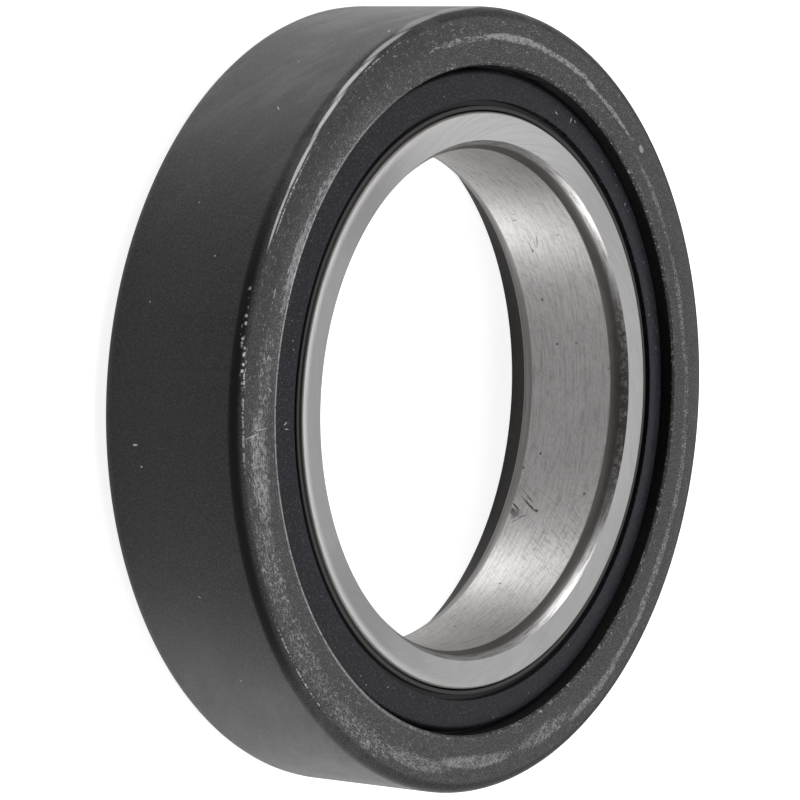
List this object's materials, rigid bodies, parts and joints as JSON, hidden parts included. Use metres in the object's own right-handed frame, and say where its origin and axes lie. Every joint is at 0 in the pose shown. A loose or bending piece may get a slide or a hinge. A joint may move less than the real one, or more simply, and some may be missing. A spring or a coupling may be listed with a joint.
{
  "type": "clutch release thrust bearing",
  "caption": "Sealed thrust ball bearing: black outer ring with a crowned thrust face, dished black shield and rubber lip, bright ground inner ring with a plain bore.",
  "frame": {"origin": "on the bearing axis, in the plane of the rear cover's face that the bearing lies on", "axes": "+Z along the bearing axis, towards the crowned thrust face; X and Y lie in the face plane, with ball_01 on +X"},
  "size_m": [0.1, 0.1, 0.0226],
  "materials": {
    "black_steel": "matte black phosphated steel with worn edges",
    "shield_steel": "satin blue-black pressed steel",
    "seal_rubber": "matte black rubber",
    "ground_steel": "ground bright steel",
    "ball_steel": "polished bearing steel",
    "cage_polymer": "moulded glass filled polymer"
  },
  "bodies": {
    "outer": {"outer_ring": "black_steel", "front_shield": "shield_steel", "front_lip": "seal_rubber", "rear_cover": "shield_steel", "rear_lip": "seal_rubber"},
    "inner": {"inner_ring": "ground_steel"},
    "cage": {"cage": "cage_polymer"},
    "ball_01": {"ball_01": "ball_steel"},
    "ball_02": {"ball_02": "ball_steel"},
    "ball_03": {"ball_03": "ball_steel"},
    "ball_04": {"ball_04": "ball_steel"},
    "ball_05": {"ball_05": "ball_steel"},
    "ball_06": {"ball_06": "ball_steel"},
    "ball_07": {"ball_07": "ball_steel"},
    "ball_08": {"ball_08": "ball_steel"},
    "ball_09": {"ball_09": "ball_steel"},
    "ball_10": {"ball_10": "ball_steel"},
    "ball_11": {"ball_11": "ball_steel"},
    "ball_12": {"ball_12": "ball_steel"},
    "ball_13": {"ball_13": "ball_steel"},
    "ball_14": {"ball_14": "ball_steel"},
    "ball_15": {"ball_15": "ball_steel"},
    "ball_16": {"ball_16": "ball_steel"},
    "ball_17": {"ball_17": "ball_steel"},
    "ball_18": {"ball_18": "ball_steel"},
    "ball_19": {"ball_19": "ball_steel"},
    "ball_20": {"ball_20": "ball_steel"}
  },
  "joints": [
    {"name": "ring_spin", "type": "hinge", "parent": "outer", "child": "inner", "pos_m": [0, 0, 0.01236], "axis": [0, 0, 1], "continuous": true},
    {"name": "cage_spin", "type": "hinge", "parent": "outer", "child": "cage", "pos_m": [0, 0, 0.01236], "axis": [0, 0, 1], "continuous": true},
    {"name": "ball_01_spin", "type": "hinge", "parent": "cage", "child": "ball_01", "pos_m": [0.04036, 0, 0.01236], "axis": [-0.4226, 0, 0.9063], "continuous": true},
    {"name": "ball_02_spin", "type": "hinge", "parent": "cage", "child": "ball_02", "pos_m": [0.03839, 0.01247, 0.01236], "axis": [-0.4019, -0.1306, 0.9063], "continuous": true},
    {"name": "ball_03_spin", "type": "hinge", "parent": "cage", "child": "ball_03", "pos_m": [0.03265, 0.02372, 0.01236], "axis": [-0.3419, -0.2484, 0.9063], "continuous": true},
    {"name": "ball_04_spin", "type": "hinge", "parent": "cage", "child": "ball_04", "pos_m": [0.02372, 0.03265, 0.01236], "axis": [-0.2484, -0.3419, 0.9063], "continuous": true},
    {"name": "ball_05_spin", "type": "hinge", "parent": "cage", "child": "ball_05", "pos_m": [0.01247, 0.03839, 0.01236], "axis": [-0.1306, -0.4019, 0.9063], "continuous": true},
    {"name": "ball_06_spin", "type": "hinge", "parent": "cage", "child": "ball_06", "pos_m": [0, 0.04036, 0.01236], "axis": [0, -0.4226, 0.9063], "continuous": true},
    {"name": "ball_07_spin", "type": "hinge", "parent": "cage", "child": "ball_07", "pos_m": [-0.01247, 0.03839, 0.01236], "axis": [0.1306, -0.4019, 0.9063], "continuous": true},
    {"name": "ball_08_spin", "type": "hinge", "parent": "cage", "child": "ball_08", "pos_m": [-0.02372, 0.03265, 0.01236], "axis": [0.2484, -0.3419, 0.9063], "continuous": true},
    {"name": "ball_09_spin", "type": "hinge", "parent": "cage", "child": "ball_09", "pos_m": [-0.03265, 0.02372, 0.01236], "axis": [0.3419, -0.2484, 0.9063], "continuous": true},
    {"name": "ball_10_spin", "type": "hinge", "parent": "cage", "child": "ball_10", "pos_m": [-0.03839, 0.01247, 0.01236], "axis": [0.4019, -0.1306, 0.9063], "continuous": true},
    {"name": "ball_11_spin", "type": "hinge", "parent": "cage", "child": "ball_11", "pos_m": [-0.04036, 0, 0.01236], "axis": [0.4226, 0, 0.9063], "continuous": true},
    {"name": "ball_12_spin", "type": "hinge", "parent": "cage", "child": "ball_12", "pos_m": [-0.03839, -0.01247, 0.01236], "axis": [0.4019, 0.1306, 0.9063], "continuous": true},
    {"name": "ball_13_spin", "type": "hinge", "parent": "cage", "child": "ball_13", "pos_m": [-0.03265, -0.02372, 0.01236], "axis": [0.3419, 0.2484, 0.9063], "continuous": true},
    {"name": "ball_14_spin", "type": "hinge", "parent": "cage", "child": "ball_14", "pos_m": [-0.02372, -0.03265, 0.01236], "axis": [0.2484, 0.3419, 0.9063], "continuous": true},
    {"name": "ball_15_spin", "type": "hinge", "parent": "cage", "child": "ball_15", "pos_m": [-0.01247, -0.03839, 0.01236], "axis": [0.1306, 0.4019, 0.9063], "continuous": true},
    {"name": "ball_16_spin", "type": "hinge", "parent": "cage", "child": "ball_16", "pos_m": [0, -0.04036, 0.01236], "axis": [0, 0.4226, 0.9063], "continuous": true},
    {"name": "ball_17_spin", "type": "hinge", "parent": "cage", "child": "ball_17", "pos_m": [0.01247, -0.03839, 0.01236], "axis": [-0.1306, 0.4019, 0.9063], "continuous": true},
    {"name": "ball_18_spin", "type": "hinge", "parent": "cage", "child": "ball_18", "pos_m": [0.02372, -0.03265, 0.01236], "axis": [-0.2484, 0.3419, 0.9063], "continuous": true},
    {"name": "ball_19_spin", "type": "hinge", "parent": "cage", "child": "ball_19", "pos_m": [0.03265, -0.02372, 0.01236], "axis": [-0.3419, 0.2484, 0.9063], "continuous": true},
    {"name": "ball_20_spin", "type": "hinge", "parent": "cage", "child": "ball_20", "pos_m": [0.03839, -0.01247, 0.01236], "axis": [-0.4019, 0.1306, 0.9063], "continuous": true}
  ],
  "couplings": [
    {"joint": "cage_spin", "follows": "ring_spin", "ratio": 0.44653},
    {"joint": "ball_01_spin", "follows": "ring_spin", "ratio": -4.1891},
    {"joint": "ball_02_spin", "follows": "ring_spin", "ratio": -4.1891},
    {"joint": "ball_03_spin", "follows": "ring_spin", "ratio": -4.1891},
    {"joint": "ball_04_spin", "follows": "ring_spin", "ratio": -4.1891},
    {"joint": "ball_05_spin", "follows": "ring_spin", "ratio": -4.1891},
    {"joint": "ball_06_spin", "follows": "ring_spin", "ratio": -4.1891},
    {"joint": "ball_07_spin", "follows": "ring_spin", "ratio": -4.1891},
    {"joint": "ball_08_spin", "follows": "ring_spin", "ratio": -4.1891},
    {"joint": "ball_09_spin", "follows": "ring_spin", "ratio": -4.1891},
    {"joint": "ball_10_spin", "follows": "ring_spin", "ratio": -4.1891},
    {"joint": "ball_11_spin", "follows": "ring_spin", "ratio": -4.1891},
    {"joint": "ball_12_spin", "follows": "ring_spin", "ratio": -4.1891},
    {"joint": "ball_13_spin", "follows": "ring_spin", "ratio": -4.1891},
    {"joint": "ball_14_spin", "follows": "ring_spin", "ratio": -4.1891},
    {"joint": "ball_15_spin", "follows": "ring_spin", "ratio": -4.1891},
    {"joint": "ball_16_spin", "follows": "ring_spin", "ratio": -4.1891},
    {"joint": "ball_17_spin", "follows": "ring_spin", "ratio": -4.1891},
    {"joint": "ball_18_spin", "follows": "ring_spin", "ratio": -4.1891},
    {"joint": "ball_19_spin", "follows": "ring_spin", "ratio": -4.1891},
    {"joint": "ball_20_spin", "follows": "ring_spin", "ratio": -4.1891}
  ]
}
